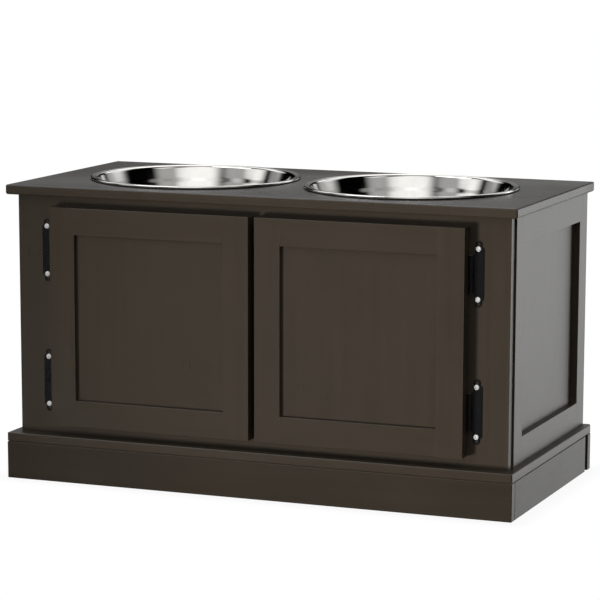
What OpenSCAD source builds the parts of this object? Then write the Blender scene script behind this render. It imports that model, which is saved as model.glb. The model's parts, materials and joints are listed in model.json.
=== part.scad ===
// Raised pet feeder: two steel bowls hang in the top of a low painted cabinet,
// and two framed doors on overlay hinges close the storage room under them.
// Millimetres. X runs across the front, +Y to the back, +Z up.
// The origin is on the floor, under the middle of the base.

/* [Overall size] */
// Width of the top board, the base board and the plinth
total_w = 600; // [592:1:640]
// Depth of the base board and the plinth
total_d = 300; // [296:1:330]
// Height of the top surface above the floor
total_h = 334; // [310:1:400]

/* [Top board] */
// Thickness of the top board
top_t = 11; // [9:0.5:16]
// Rounding of the upper edges of the top board
top_round = 1.8; // [0.5:0.1:3]
// Rounding of the lower edges of the top board
top_under_round = 2.4; // [0.5:0.1:3.5]

/* [Bowls] */
// Distance between the two bowl centres
bowl_pitch = 262; // [252:1:266]
// Outer diameter of the rolled rim of a bowl
rim_d = 240; // [232:1:242]
// Depth of a bowl below the top surface
bowl_depth = 70; // [50:1:80]
// Diameter of the flat bottom of a bowl
bowl_base_d = 150; // [130:1:165]
// Thickness of the bowl sheet
bowl_t = 1; // [0.8:0.1:1.4]

/* [Cabinet] */
// Thickness of the face frame around the doors
frame_t = 12; // [10:0.5:14]
// Height of the top and bottom rails of the face frame
frame_rail = 23.5; // [20:0.5:28]
// Thickness of the framed side walls
side_t = 15; // [13:0.5:18]
// Width of the stiles of a side wall
side_stile = 28; // [24:1:40]
// Height of the rails of a side wall
side_rail = 30; // [26:1:40]
// Thickness of the panel in a side wall
side_panel_t = 8; // [4:0.5:8.5]
// Thickness of the back panel
back_t = 4; // [3:0.5:5]

/* [Base and plinth] */
// Thickness of the base board
base_t = 10.5; // [9:0.5:16]
// Rounding of the edges of the base board
base_round = 1.6; // [0.5:0.1:3]
// Height of the plinth boards
plinth_h = 42; // [38:1:60]
// Thickness of the plinth boards
plinth_t = 12; // [10:0.5:16]
// Open joint between a plinth side and the plinth back
plinth_gap = 10; // [4:1:12]

/* [Doors] */
// Width of one door
door_w = 240; // [230:0.5:242]
// Gap between the two closed doors
door_gap = 7; // [4:0.5:10]
// Thickness of a door frame
door_t = 15; // [13:0.5:16]
// Width of the stiles and rails of a door
door_stile = 30; // [26:1:45]
// Thickness of a door panel
door_panel_t = 5; // [4:0.5:6]
// Distance that a door laps over the face frame on each outer edge
overlay = 12; // [10:0.5:14]

/* [Hinges] */
// Distance of a hinge centre from the top or bottom edge of its door
hinge_inset = 49.5; // [42:0.5:70]
// Outer diameter of the hinge barrel
barrel_d = 5.2; // [4.8:0.1:5.4]
// Diameter of the hinge pin
pin_d = 2.4; // [2:0.1:2.6]
// Distance between the two screws of a frame leaf
leaf_screws = 54; // [52:0.5:58]

/* [Hidden] */
$fn = 48;

espresso = [0.235, 0.205, 0.175];
espresso_top = [0.33, 0.31, 0.29];
raw_board = [0.60, 0.47, 0.33];
beech = [0.80, 0.66, 0.46];
steel = [0.80, 0.80, 0.79];
zinc = [0.75, 0.74, 0.70];
black = [0.07, 0.07, 0.075];
clear_rubber = [0.85, 0.85, 0.82];

// Half sizes and main levels
hw = total_w / 2;
hd = total_d / 2;
base_z0 = plinth_h;
body_z0 = plinth_h + base_t;
body_z1 = total_h - top_t;
top_y0 = -hd + 5;
top_y1 = hd - 5;

// Side walls
side_x1 = hw - 8;
side_x0 = side_x1 - side_t;
rabbet = 6;

// Face frame
ff_x1 = side_x1 - 2;
ff_y0 = -hd + 18;
ff_y1 = ff_y0 + frame_t;
open_x = door_gap / 2 + door_w - overlay;
open_z0 = body_z0 + frame_rail;
open_z1 = body_z1 - frame_rail;

// Side wall recess
sr_y0 = ff_y1 + side_stile;
sr_y1 = top_y1 - side_stile;
sr_z0 = body_z0 + side_rail - 0.5;
sr_z1 = body_z1 - side_rail - 2;
sp_x1 = side_x0 + side_panel_t;
dowel_x = side_x0 + side_t / 2;

// Doors
door_x0 = door_gap / 2;
door_x1 = door_x0 + door_w;
door_yb = ff_y0 - 1.5;
door_yf = door_yb - door_t;
door_z0 = body_z0 + 12;
door_z1 = body_z1 - 11.5;
door_ym = (door_yb + door_yf) / 2;
groove = 8;

// Hinge axis, its two heights, and the leaves measured from the axis
hinge_x = door_x1 + 3;
hinge_y = ff_y0 - 0.3 - barrel_d / 2;
hinge_zs = [door_z1 - hinge_inset - 0.8, door_z0 + hinge_inset - 0.9];
barrel_r = barrel_d / 2;
pin_r = pin_d / 2;
barrel_l = 40;
mid_knuckle = 7.7;
leaf_t = 1.2;
frame_leaf_y = ff_y0 - hinge_y;
door_leaf_y = door_yb - hinge_y;
frame_leaf_w = 13.6;
door_leaf_w = 22;
tab_x = 7.5;
tab_r = 3.8;
tab_z = leaf_screws / 2 + 4.6;

// Bowls
bowl_x = bowl_pitch / 2;
rim_r = rim_d / 2;
bead_r = 1.6;
hole_r = rim_r - 5.25;
seat_gap = 0.3;

// Plinth
plinth_side_y1 = hd - 11 - plinth_gap;
plinth_back_y0 = hd - 11;
block = 24;

// Cleats under the top board
cleat = 18;
cleat_x0 = side_x0 - cleat;
back_rail_y1 = top_y1 - back_t;
back_rail_y0 = back_rail_y1 - cleat;
cleat_y0 = ff_y1 + 2;
cleat_y1 = back_rail_y0 - 2;

// Screw sizes: [shank diameter, length, head diameter]
cleat_screw = [3.5, 25, 7];
base_screw = [4, 30, 8];
plinth_screw = [3.5, 30, 7];
leaf_screw = [3, 9, 6];

// Places of the dowels and screws: [x, y, z] on the right half
rail_dowel_d = 6;
rail_dowel_l = 30;
ff_dowel_at = [for (z = [body_z0 + frame_rail / 2, body_z1 - frame_rail / 2], d = [-6, 6]) [open_x, (ff_y0 + ff_y1) / 2, z + d]];
side_dowel_at = [for (y = [sr_y0, sr_y1], z = [(body_z0 + sr_z0 - rabbet) / 2, (body_z1 + sr_z1 + rabbet) / 2], d = [-6.2, 6.2]) [dowel_x, y, z + d]];
face_dowel_l = 22;
face_dowel_at = [for (z = [body_z0 + 40, (body_z0 + body_z1) / 2, body_z1 - 40]) [side_x1 - 7.5, ff_y1 - 8, z]];
cleat_up_at = [for (y = [-95, 0, 95]) [(cleat_x0 + side_x0) / 2, y, body_z1 - cleat]];
cleat_out_at = [for (y = [-60, 60]) [cleat_x0, y, body_z1 - cleat / 2]];
back_rail_up_at = [for (x = [-150, 0, 150]) [x, (back_rail_y0 + back_rail_y1) / 2, body_z1 - cleat]];
base_side_at = [for (y = [-68, 12, 93]) [side_x0 + 6, y, base_z0]];
base_front_at = [120, (ff_y0 + ff_y1) / 2, base_z0];
nail_side_at = [for (i = [0:4]) [side_x0 + 4, top_y1, body_z0 + 22.5 + i * (body_z1 - body_z0 - 45) / 4]];
nail_top_at = [for (x = [-225, -75, 75, 225]) [x, top_y1, body_z1 - cleat / 2]];
hinge_screw_z = leaf_screws / 2;

// Block between two opposite corners
module span(a, b) { translate(a) cube([b[0] - a[0], b[1] - a[1], b[2] - a[2]]); }

// The same shape on the left or the right half
module on_side(s) { if (s < 0) mirror([1, 0, 0]) children(); else children(); }

// Outline of a board's cross-section, w by h, with rounded upper and lower corners
module edge_profile(w, h, rt, rb) {
  translate([0, rb]) square([w, h - rt - rb]);
  translate([rb, 0]) square([w - 2 * rb, h / 2]);
  translate([rt, h / 2]) square([w - 2 * rt, h / 2]);
  for (x = [rb, w - rb]) translate([x, rb]) circle(r = rb);
  for (x = [rt, w - rt]) translate([x, h - rt]) circle(r = rt);
}

// Board with all its edges rounded: upper, lower and upright corner radii
module soft_board(a, b, rt, rb, rc) {
  w = b[0] - a[0];
  d = b[1] - a[1];
  h = b[2] - a[2];
  translate(a) intersection() {
    translate([0, d, 0]) rotate([90, 0, 0]) linear_extrude(height = d) edge_profile(w, h, rt, rb);
    rotate([90, 0, 90]) linear_extrude(height = w) edge_profile(d, h, rt, rb);
    linear_extrude(height = h) edge_profile(w, d, rc, rc);
  }
}

// Grooved beech dowel along Z, centred, with chamfered ends
module dowel(d, l, g = 0) {
  translate([0, 0, -l / 2 + 1]) cylinder(d = d + 2 * g, h = l - 2);
  translate([0, 0, -l / 2 - g]) cylinder(d1 = d - 1.2 + 2 * g, d2 = d + 2 * g, h = 1 + g);
  translate([0, 0, l / 2 - 1]) cylinder(d1 = d + 2 * g, d2 = d - 1.2 + 2 * g, h = 1 + g);
}

// Space that a dowel sits in
module dowel_hole(d, l) { translate([0, 0, -l / 2 - 0.3]) cylinder(d = d + 0.1, h = l + 0.6); }

// Cross recess of a screw head, cut from z = 0 inwards
module cross_recess(w, t, dp) {
  translate([-w / 2, -t / 2, -0.2]) cube([w, t, dp + 0.2]);
  translate([-t / 2, -w / 2, -0.2]) cube([t, w, dp + 0.2]);
}

// Countersunk wood screw [d, length, head d], head face at z = 0, point along +Z
module csk_screw(s) {
  d = s[0];
  l = s[1];
  k = (s[2] - d) / 2 + 0.3;
  difference() {
    union() {
      cylinder(d = s[2], h = 0.3);
      translate([0, 0, 0.3]) cylinder(d1 = s[2], d2 = d, h = k - 0.3);
      translate([0, 0, k]) cylinder(d = d, h = l - k - d);
      translate([0, 0, l - d]) cylinder(d1 = d, d2 = 0.4, h = d);
    }
    cross_recess(s[2] * 0.55, s[2] * 0.14, k * 0.8);
  }
}

// Space that a countersunk screw sits in
module csk_hole(s) {
  d = s[0] + 0.1;
  k = (s[2] - s[0]) / 2 + 0.3;
  translate([0, 0, -1]) cylinder(d = s[2] + 0.1, h = 1.35);
  translate([0, 0, 0.3]) cylinder(d1 = s[2] + 0.15, d2 = d, h = k - 0.25);
  translate([0, 0, 0.2]) cylinder(d = d, h = s[1]);
}

// Domed wood screw for the frame leaves, under side of the head at z = 0, point along +Z
module pan_screw(d, l, hd_, hh) {
  difference() {
    union() {
      intersection() {
        translate([0, 0, -hh]) cylinder(d = hd_, h = hh);
        translate([0, 0, 2.7]) sphere(r = 2.7 + hh, $fn = 64);
      }
      cylinder(d = d, h = l - d);
      translate([0, 0, l - d]) cylinder(d1 = d, d2 = 0.4, h = d);
    }
    translate([0, 0, -hh]) cross_recess(3.5, 0.9, 1.0);
  }
}

// Nail with a flat head, head face at z = 0, point along +Z
module nail(l, d, g = 0) {
  cylinder(d = 3 + 2 * g, h = 0.8 + g);
  cylinder(d = d + 2 * g, h = l - 2);
  translate([0, 0, l - 2]) cylinder(d1 = d + 2 * g, d2 = 0.3, h = 2);
}

// Screw or nail at a point, aimed along one of the axes
module aim_y(p) { translate(p) rotate([-90, 0, 0]) children(); }
module aim_front(p) { translate(p) rotate([90, 0, 0]) children(); }
module aim_x(p) { translate(p) rotate([0, 90, 0]) children(); }

// ---------- top board ----------

module top_board() {
  color(espresso_top) difference() {
    soft_board([-hw, top_y0, body_z1], [hw, top_y1, total_h], top_round, top_under_round, 2.5);
    for (s = [-1, 1]) {
      translate([s * bowl_x, 0, body_z1 - 1]) cylinder(r = hole_r, h = top_t + 2, $fn = 180);
      on_side(s) for (p = cleat_up_at) translate(p) csk_hole(cleat_screw);
    }
    for (p = back_rail_up_at) translate(p) csk_hole(cleat_screw);
  }
}

// ---------- base board and plinth ----------

module base_board() {
  color(espresso) difference() {
    soft_board([-hw, -hd, base_z0], [hw, hd, body_z0], base_round, base_round, 2);
    for (s = [-1, 1]) on_side(s) {
      for (p = base_side_at) translate(p) csk_hole(base_screw);
      translate(base_front_at) csk_hole(base_screw);
      for (q = [-1, 1]) translate(block_up(q)) csk_hole(plinth_screw);
    }
  }
}

// Screw places in a corner block: q = -1 is the front block, q = 1 the back block
function block_y0(q) = q < 0 ? -hd + plinth_t : plinth_back_y0 - block;
function block_x0() = hw - plinth_t - block;
function block_up(q) = [block_x0() + 7, block_y0(q) + 17, 19];
function block_out(q) = [block_x0(), block_y0(q) + 6, 14];
function block_end(q) = [block_x0() + 17, q < 0 ? block_y0(q) + block : block_y0(q), 30];

module block_end_aim(q) {
  if (q < 0) aim_front(block_end(q)) children();
  else aim_y(block_end(q)) children();
}

module block_screw_holes(q) {
  translate(block_up(q)) csk_hole(plinth_screw);
  aim_x(block_out(q)) csk_hole(plinth_screw);
  block_end_aim(q) csk_hole(plinth_screw);
}

module plinth_corner_blocks() {
  color(raw_board) for (s = [-1, 1], q = [-1, 1]) on_side(s) difference() {
    span([block_x0(), block_y0(q), 2], [hw - plinth_t, block_y0(q) + block, base_z0]);
    block_screw_holes(q);
    translate([block_up(q)[0], block_up(q)[1], 0]) cylinder(d = 9, h = 19);
  }
}

module plinth_front() {
  color(espresso) difference() {
    soft_board([-hw, -hd, 0], [hw, -hd + plinth_t, base_z0], 1.2, 0.8, 1.2);
    for (s = [-1, 1]) on_side(s) block_screw_holes(-1);
  }
}

module plinth_side() {
  difference() {
    soft_board([hw - plinth_t, -hd + plinth_t, 0], [hw, plinth_side_y1, base_z0], 1.2, 0.8, 0.6);
    for (q = [-1, 1]) block_screw_holes(q);
  }
}
module plinth_left() { color(espresso) on_side(-1) plinth_side(); }
module plinth_right() { color(espresso) plinth_side(); }

module plinth_back() {
  color(espresso) difference() {
    soft_board([-hw, plinth_back_y0, 0], [hw, hd, base_z0], 1.2, 0.8, 0.8);
    for (s = [-1, 1]) on_side(s) block_screw_holes(1);
  }
}

module plinth_screws() {
  color(zinc) for (s = [-1, 1], q = [-1, 1]) on_side(s) {
    translate(block_up(q)) csk_screw(plinth_screw);
    aim_x(block_out(q)) csk_screw(plinth_screw);
    block_end_aim(q) csk_screw(plinth_screw);
  }
}

module base_screws() {
  color(zinc) for (s = [-1, 1]) on_side(s) {
    for (p = base_side_at) translate(p) csk_screw(base_screw);
    translate(base_front_at) csk_screw(base_screw);
  }
}

// ---------- face frame ----------

module face_stile() {
  difference() {
    span([open_x, ff_y0, body_z0], [ff_x1, ff_y1, body_z1]);
    for (p = ff_dowel_at) translate(p) rotate([0, 90, 0]) dowel_hole(rail_dowel_d, rail_dowel_l);
    for (p = face_dowel_at) translate([p[0], p[1] + face_dowel_l / 2, p[2]]) rotate([90, 0, 0]) dowel_hole(rail_dowel_d, face_dowel_l);
    for (z = hinge_zs, d = [-1, 1]) aim_y([hinge_x + tab_x, ff_y0 - 1, z + d * hinge_screw_z]) cylinder(d = 3.1, h = 10);
  }
}
module face_stile_left() { color(espresso) on_side(-1) face_stile(); }
module face_stile_right() { color(espresso) face_stile(); }

module face_rail(z0, z1) {
  difference() {
    span([-open_x, ff_y0, z0], [open_x, ff_y1, z1]);
    for (s = [-1, 1]) on_side(s) {
      for (p = ff_dowel_at) translate(p) rotate([0, 90, 0]) dowel_hole(rail_dowel_d, rail_dowel_l);
      translate(base_front_at) csk_hole(base_screw);
    }
  }
}
module face_rail_top() { color(espresso) face_rail(open_z1, body_z1); }
module face_rail_bottom() { color(espresso) face_rail(body_z0, open_z0); }

// ---------- side walls ----------

module side_dowel_holes() {
  for (p = side_dowel_at) translate(p) rotate([90, 0, 0]) dowel_hole(rail_dowel_d, rail_dowel_l);
}

// Space of the side panel and its rabbet
module side_panel_space() {
  span([side_x0 - 1, sr_y0 - rabbet, sr_z0 - rabbet], [sp_x1, sr_y1 + rabbet, sr_z1 + rabbet]);
}

module side_front_stile() {
  difference() {
    span([side_x0, ff_y1, body_z0], [side_x1, sr_y0, body_z1]);
    side_panel_space();
    side_dowel_holes();
    for (p = face_dowel_at) translate([p[0], p[1] + face_dowel_l / 2, p[2]]) rotate([90, 0, 0]) dowel_hole(rail_dowel_d, face_dowel_l);
  }
}

module side_back_stile() {
  difference() {
    span([side_x0, sr_y1, body_z0], [side_x1, top_y1, body_z1]);
    side_panel_space();
    side_dowel_holes();
    span([side_x0 - 1, top_y1 - back_t, body_z0 - 1], [side_x0 + 8, top_y1 + 1, body_z1 + 1]);
    for (p = nail_side_at) aim_front(p) nail(18, 1.3, 0.03);
  }
}

module side_rail_piece(z0, z1) {
  difference() {
    span([side_x0, sr_y0, z0], [side_x1, sr_y1, z1]);
    side_panel_space();
    side_dowel_holes();
    for (p = base_side_at) translate(p) csk_hole(base_screw);
    for (p = cleat_out_at) aim_x(p) csk_hole(cleat_screw);
  }
}

module side_panel() {
  span([side_x0, sr_y0 - rabbet + 0.1, sr_z0 - rabbet + 0.1], [sp_x1, sr_y1 + rabbet - 0.1, sr_z1 + rabbet - 0.1]);
}

module side_left_front_stile() { color(espresso) on_side(-1) side_front_stile(); }
module side_left_back_stile() { color(espresso) on_side(-1) side_back_stile(); }
module side_left_top_rail() { color(espresso) on_side(-1) side_rail_piece(sr_z1, body_z1); }
module side_left_bottom_rail() { color(espresso) on_side(-1) side_rail_piece(body_z0, sr_z0); }
module side_left_panel() { color(espresso) on_side(-1) side_panel(); }
module side_right_front_stile() { color(espresso) side_front_stile(); }
module side_right_back_stile() { color(espresso) side_back_stile(); }
module side_right_top_rail() { color(espresso) side_rail_piece(sr_z1, body_z1); }
module side_right_bottom_rail() { color(espresso) side_rail_piece(body_z0, sr_z0); }
module side_right_panel() { color(espresso) side_panel(); }

// ---------- back, cleats and inner fasteners ----------

module back_panel() {
  color(espresso) difference() {
    span([-side_x0 - 7.9, top_y1 - back_t, body_z0], [side_x0 + 7.9, top_y1, body_z1]);
    for (s = [-1, 1]) on_side(s) for (p = nail_side_at) aim_front(p) nail(18, 1.3, 0.03);
    for (p = nail_top_at) aim_front(p) nail(18, 1.3, 0.03);
  }
}

module back_rail() {
  color(raw_board) difference() {
    span([-side_x0, back_rail_y0, body_z1 - cleat], [side_x0, back_rail_y1, body_z1]);
    for (p = back_rail_up_at) translate(p) csk_hole(cleat_screw);
    for (p = nail_top_at) aim_front(p) nail(18, 1.3, 0.03);
  }
}

module top_cleat() {
  difference() {
    span([cleat_x0, cleat_y0, body_z1 - cleat], [side_x0, cleat_y1, body_z1]);
    for (p = cleat_up_at) translate(p) csk_hole(cleat_screw);
    for (p = cleat_out_at) aim_x(p) csk_hole(cleat_screw);
  }
}
module top_cleat_left() { color(raw_board) on_side(-1) top_cleat(); }
module top_cleat_right() { color(raw_board) top_cleat(); }

module cleat_screws() {
  color(zinc) {
    for (s = [-1, 1]) on_side(s) {
      for (p = cleat_up_at) translate(p) csk_screw(cleat_screw);
      for (p = cleat_out_at) aim_x(p) csk_screw(cleat_screw);
    }
    for (p = back_rail_up_at) translate(p) csk_screw(cleat_screw);
  }
}

module rail_dowels() {
  color(beech) for (s = [-1, 1]) on_side(s) {
    for (p = ff_dowel_at) translate(p) rotate([0, 90, 0]) dowel(rail_dowel_d, rail_dowel_l);
    for (p = side_dowel_at) translate(p) rotate([90, 0, 0]) dowel(rail_dowel_d, rail_dowel_l);
  }
}

module face_frame_dowels() {
  color(beech) for (s = [-1, 1]) on_side(s) for (p = face_dowel_at)
    translate([p[0], p[1] + face_dowel_l / 2, p[2]]) rotate([90, 0, 0]) dowel(rail_dowel_d, face_dowel_l);
}

module back_nails() {
  color(zinc) {
    for (s = [-1, 1]) on_side(s) for (p = nail_side_at) aim_front(p) nail(18, 1.3);
    for (p = nail_top_at) aim_front(p) nail(18, 1.3);
  }
}

// ---------- bowls ----------

// Middle line of the bowl sheet as [radius, height over the top surface]
bowl_r0 = bowl_base_d / 2;
bowl_zb = -bowl_depth + bowl_t / 2;
flange_z = seat_gap + 2 * bead_r - bowl_t / 2 - 0.35;
lip_r = 3.2;
heel = 15;
wall_r1 = rim_r - 7.9;
// Lean of the wall from the vertical, found by repeated steps
function wall_lean(w, n) = n == 0 ? w :
  wall_lean(atan2(wall_r1 - bowl_r0 - heel * cos(w), flange_z - lip_r * (1 - sin(w)) - bowl_zb - heel * (1 - sin(w))), n - 1);
wall_a = wall_lean(20, 20);
wall_z1 = flange_z - lip_r * (1 - sin(wall_a));
bowl_path = concat(
  [[0, bowl_zb]],
  [for (i = [0:12]) let (a = i / 12 * (90 - wall_a)) [bowl_r0 + heel * sin(a), bowl_zb + heel * (1 - cos(a))]],
  [for (i = [0:8]) let (a = wall_a + i / 8 * (90 - wall_a)) [wall_r1 + lip_r * (cos(wall_a) - cos(a)), wall_z1 + lip_r * (sin(a) - sin(wall_a))]],
  [[rim_r - bead_r, flange_z]]
);
bowl_n = len(bowl_path);
function unit2(v) = v / norm(v);
function path_dir(i) = unit2(bowl_path[min(i + 1, bowl_n - 1)] - bowl_path[max(i - 1, 0)]);
function path_off(i, d) = let (t = path_dir(i)) [max(0, bowl_path[i][0] + (i == 0 ? 0 : -t[1] * d)), bowl_path[i][1] + (i == 0 ? d : t[0] * d)];

module bowl_body() {
  translate([0, 0, total_h]) union() {
    rotate_extrude($fn = 180) polygon(concat(
      [for (i = [0:bowl_n - 1]) path_off(i, bowl_t / 2)],
      [for (i = [bowl_n - 1:-1:0]) path_off(i, -bowl_t / 2)]));
    rotate_extrude($fn = 180) translate([rim_r - bead_r, seat_gap + bead_r]) circle(r = bead_r, $fn = 32);
  }
}
module bowl_left() { color(steel) translate([-bowl_x, 0, 0]) bowl_body(); }
module bowl_right() { color(steel) translate([bowl_x, 0, 0]) bowl_body(); }

// ---------- doors ----------

// Groove for the panel along one inner edge
module door_groove(a, b) { span([a[0], door_ym - door_panel_t / 2, a[1]], [b[0], door_ym + door_panel_t / 2, b[1]]); }

module door_screw_holes() {
  for (z = hinge_zs, d = [-1, 1]) aim_front([hinge_x - 12, hinge_y + door_leaf_y + leaf_t - 0.05, z + d * 13.5]) csk_hole(leaf_screw);
}

module door_stile_outer() {
  difference() {
    span([door_x1 - door_stile, door_yf, door_z0], [door_x1, door_yb, door_z1]);
    door_groove([door_x1 - door_stile - 1, door_z0 - 1], [door_x1 - door_stile + groove, door_z1 + 1]);
    door_screw_holes();
  }
}

module door_stile_inner() {
  difference() {
    span([door_x0, door_yf, door_z0], [door_x0 + door_stile, door_yb, door_z1]);
    door_groove([door_x0 + door_stile - groove, door_z0 - 1], [door_x0 + door_stile + 1, door_z1 + 1]);
  }
}

// Rail with a stub tenon at each end; z0 to z1 is its height, and the groove is on its inner edge
module door_rail(z0, z1, inner_low) {
  gz0 = inner_low ? z0 - 1 : z1 - groove;
  gz1 = inner_low ? z0 + groove : z1 + 1;
  x0 = door_x0 + door_stile;
  x1 = door_x1 - door_stile;
  difference() {
    union() {
      span([x0, door_yf, z0], [x1, door_yb, z1]);
      door_groove([x0 - groove + 0.2, z0], [x1 + groove - 0.2, z1]);
    }
    door_groove([x0 - groove - 1, gz0], [x1 + groove + 1, gz1]);
  }
}

module door_panel() {
  door_groove([door_x0 + door_stile - groove + 0.5, door_z0 + door_stile - groove + 0.5],
    [door_x1 - door_stile + groove - 0.5, door_z1 - door_stile + groove - 0.5]);
}

module door_left_hinge_stile() { color(espresso) on_side(-1) door_stile_outer(); }
module door_left_free_stile() { color(espresso) on_side(-1) door_stile_inner(); }
module door_left_top_rail() { color(espresso) on_side(-1) door_rail(door_z1 - door_stile, door_z1, true); }
module door_left_bottom_rail() { color(espresso) on_side(-1) door_rail(door_z0, door_z0 + door_stile, false); }
module door_left_panel() { color(espresso) on_side(-1) door_panel(); }
module door_right_hinge_stile() { color(espresso) door_stile_outer(); }
module door_right_free_stile() { color(espresso) door_stile_inner(); }
module door_right_top_rail() { color(espresso) door_rail(door_z1 - door_stile, door_z1, true); }
module door_right_bottom_rail() { color(espresso) door_rail(door_z0, door_z0 + door_stile, false); }
module door_right_panel() { color(espresso) door_panel(); }

module door_bumpers() {
  for (z = [door_z0 + 6, door_z1 - 6]) aim_y([door_x0 + 10, door_yb, z]) {
    cylinder(d = 8, h = 0.7);
    translate([0, 0, 0.7]) cylinder(d1 = 8, d2 = 6, h = 0.5);
  }
}
module door_bumpers_left() { color(clear_rubber) on_side(-1) door_bumpers(); }
module door_bumpers_right() { color(clear_rubber) door_bumpers(); }

// ---------- hinges, drawn about the pin axis at mid height ----------

// Outline of the frame leaf: x away from the pin, y up
module frame_leaf_outline() {
  translate([0, -mid_knuckle]) square([4, 2 * mid_knuckle]);
  polygon([
    [3, -20.5], [tab_x - tab_r, -23.5], [tab_x - tab_r, -tab_z], [tab_x + tab_r, -tab_z], [tab_x + tab_r, -28.2],
    [frame_leaf_w - 1, -28.2], [frame_leaf_w, -27.2], [frame_leaf_w, 27.2], [frame_leaf_w - 1, 28.2],
    [tab_x + tab_r, 28.2], [tab_x + tab_r, tab_z], [tab_x - tab_r, tab_z], [tab_x - tab_r, 23.5], [3, 20.5]
  ]);
  for (s = [-1, 1]) translate([tab_x, s * tab_z]) circle(r = tab_r);
}

module frame_leaf() {
  difference() {
    union() {
      translate([0, frame_leaf_y, 0]) rotate([90, 0, 0]) linear_extrude(height = leaf_t) frame_leaf_outline();
      translate([0, 0, -mid_knuckle]) cylinder(r = barrel_r, h = 2 * mid_knuckle);
    }
    translate([0, 0, -mid_knuckle - 1]) cylinder(r = pin_r, h = 2 * mid_knuckle + 2);
    for (s = [-1, 1]) {
      for (z = [hinge_screw_z - 1.4, hinge_screw_z + 5]) aim_y([tab_x, 0, s * z]) cylinder(r = 1.7, h = 5);
      span([tab_x - 1.7, 0, min(s * (hinge_screw_z - 1.4), s * (hinge_screw_z + 5))],
        [tab_x + 1.7, 5, max(s * (hinge_screw_z - 1.4), s * (hinge_screw_z + 5))]);
    }
  }
}

module door_leaf() {
  difference() {
    union() {
      span([-door_leaf_w, door_leaf_y, -barrel_l / 2], [0, door_leaf_y + leaf_t, barrel_l / 2]);
      for (s = [-1, 1]) translate([0, 0, s > 0 ? mid_knuckle + 0.3 : -barrel_l / 2]) cylinder(r = barrel_r, h = barrel_l / 2 - mid_knuckle - 0.3);
    }
    translate([0, 0, -barrel_l / 2 - 1]) cylinder(r = pin_r + 0.05, h = barrel_l + 2);
    span([-3.2, -5, -mid_knuckle - 0.3], [5, 5, mid_knuckle + 0.3]);
    span([-16, -5, -6.2], [-3, 5, 6.2]);
    span([-20.1, door_leaf_y + 0.7, -6.2], [-15.9, 5, 6.2]);
    for (d = [-1, 1]) aim_front([-12, door_leaf_y + leaf_t - 0.05, d * 13.5]) csk_hole(leaf_screw);
  }
}

module hinge_spring() { span([-20, door_leaf_y + 0.7, -6], [-3.3, door_leaf_y + 1.15, 6]); }

module hinge_pin() {
  translate([0, 0, -barrel_l / 2 - 0.3]) cylinder(r = pin_r, h = barrel_l + 0.6);
  for (s = [0, 1]) mirror([0, 0, s]) translate([0, 0, barrel_l / 2 + 0.2]) {
    cylinder(r = barrel_r - 0.4, h = 0.4);
    translate([0, 0, 0.4]) cylinder(r1 = barrel_r - 0.4, r2 = barrel_r - 1.2, h = 0.5);
  }
}

module at_hinge(s, i) { on_side(s) translate([hinge_x, hinge_y, hinge_zs[i]]) children(); }

module frame_leaf_left_upper() { color(black) at_hinge(-1, 0) frame_leaf(); }
module frame_leaf_left_lower() { color(black) at_hinge(-1, 1) frame_leaf(); }
module frame_leaf_right_upper() { color(black) at_hinge(1, 0) frame_leaf(); }
module frame_leaf_right_lower() { color(black) at_hinge(1, 1) frame_leaf(); }
module door_leaf_left_upper() { color(black) at_hinge(-1, 0) door_leaf(); }
module door_leaf_left_lower() { color(black) at_hinge(-1, 1) door_leaf(); }
module door_leaf_right_upper() { color(black) at_hinge(1, 0) door_leaf(); }
module door_leaf_right_lower() { color(black) at_hinge(1, 1) door_leaf(); }
module hinge_pins() { color(black) for (s = [-1, 1], i = [0, 1]) at_hinge(s, i) hinge_pin(); }
module hinge_springs_left() { color(steel) for (i = [0, 1]) at_hinge(-1, i) hinge_spring(); }
module hinge_springs_right() { color(steel) for (i = [0, 1]) at_hinge(1, i) hinge_spring(); }

module frame_leaf_screws() {
  color(zinc) for (s = [-1, 1], i = [0, 1], d = [-1, 1]) at_hinge(s, i)
    aim_y([tab_x, frame_leaf_y - leaf_t, d * hinge_screw_z]) pan_screw(3, 10, 5.8, 1.8);
}

module door_leaf_screws() {
  for (i = [0, 1], d = [-1, 1]) at_hinge(1, i)
    aim_front([-12, door_leaf_y + leaf_t - 0.05, d * 13.5]) csk_screw(leaf_screw);
}
module door_leaf_screws_left() { color(zinc) on_side(-1) door_leaf_screws(); }
module door_leaf_screws_right() { color(zinc) door_leaf_screws(); }

top_board();
base_board();
plinth_front();
plinth_left();
plinth_right();
plinth_back();
plinth_corner_blocks();
face_stile_left();
face_stile_right();
face_rail_top();
face_rail_bottom();
side_left_front_stile();
side_left_back_stile();
side_left_top_rail();
side_left_bottom_rail();
side_left_panel();
side_right_front_stile();
side_right_back_stile();
side_right_top_rail();
side_right_bottom_rail();
side_right_panel();
back_panel();
back_rail();
top_cleat_left();
top_cleat_right();
bowl_left();
bowl_right();
door_left_hinge_stile();
door_left_free_stile();
door_left_top_rail();
door_left_bottom_rail();
door_left_panel();
door_right_hinge_stile();
door_right_free_stile();
door_right_top_rail();
door_right_bottom_rail();
door_right_panel();
frame_leaf_left_upper();
frame_leaf_left_lower();
frame_leaf_right_upper();
frame_leaf_right_lower();
door_leaf_left_upper();
door_leaf_left_lower();
door_leaf_right_upper();
door_leaf_right_lower();
hinge_pins();
hinge_springs_left();
hinge_springs_right();
frame_leaf_screws();
door_leaf_screws_left();
door_leaf_screws_right();
rail_dowels();
face_frame_dowels();
cleat_screws();
base_screws();
plinth_screws();
back_nails();
door_bumpers_left();
door_bumpers_right();
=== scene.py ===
import json
import math
import bpy
import bmesh
from mathutils import Matrix, Vector, Euler
from mathutils.geometry import tessellate_polygon

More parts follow.
